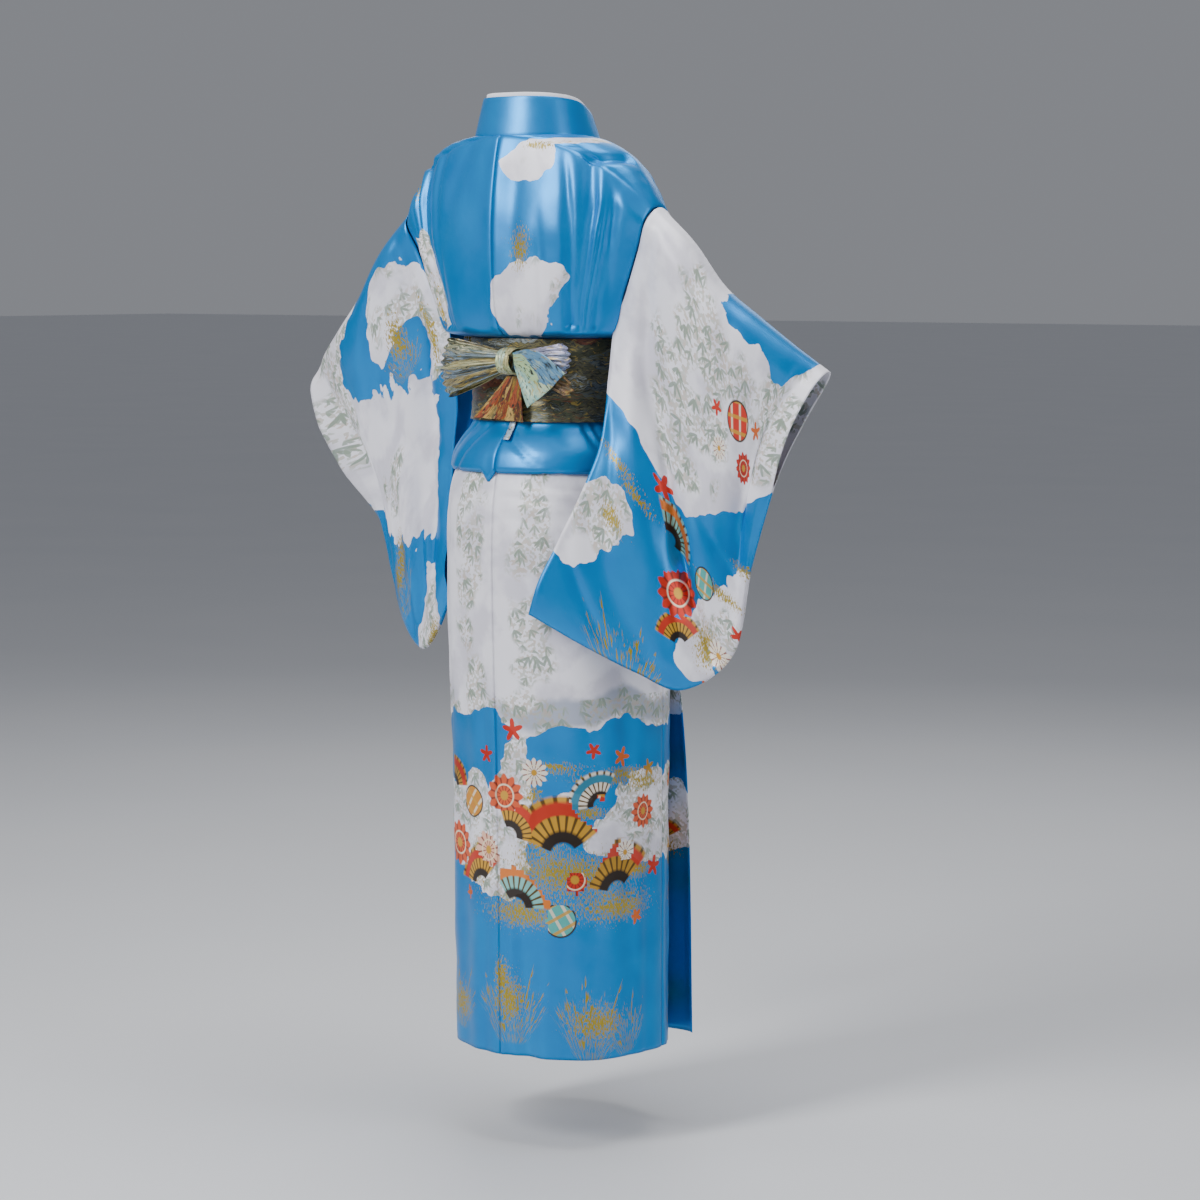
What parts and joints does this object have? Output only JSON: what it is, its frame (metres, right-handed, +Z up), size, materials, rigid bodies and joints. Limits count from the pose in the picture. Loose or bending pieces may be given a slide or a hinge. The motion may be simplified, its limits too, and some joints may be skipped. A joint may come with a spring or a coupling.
{
  "type": "kimono",
  "caption": "Bright blue satin kimono with flowing sleeves and a misty printed landscape, worn shape, with its own tied belt.",
  "frame": {"origin": "middle of the neck, level with the collar's seam at the nape, where the wearer holds the garment up", "axes": "+Z up from the hem to the collar; the wearer faces -Y; the wearer's left is +X"},
  "size_m": [0.9043, 0.3163, 1.3356],
  "materials": {
    "blue_satin": "printed satin",
    "white_cotton": "plain weave",
    "belt_satin": "printed satin"
  },
  "bodies": {
    "root": {"body_right": "blue_satin", "body_left": "blue_satin", "overlap_right": "blue_satin", "overlap_left": "blue_satin", "collar": "blue_satin", "inner_collar": "white_cotton", "sleeve_right": "blue_satin", "sleeve_left": "blue_satin", "belt_band": "belt_satin", "bow_knot": "belt_satin", "bow_loop_left": "belt_satin", "bow_loop_right": "belt_satin", "bow_loop_low": "belt_satin", "bow_tail_point": "belt_satin", "bow_tail_wide": "belt_satin"}
  },
  "joints": []
}
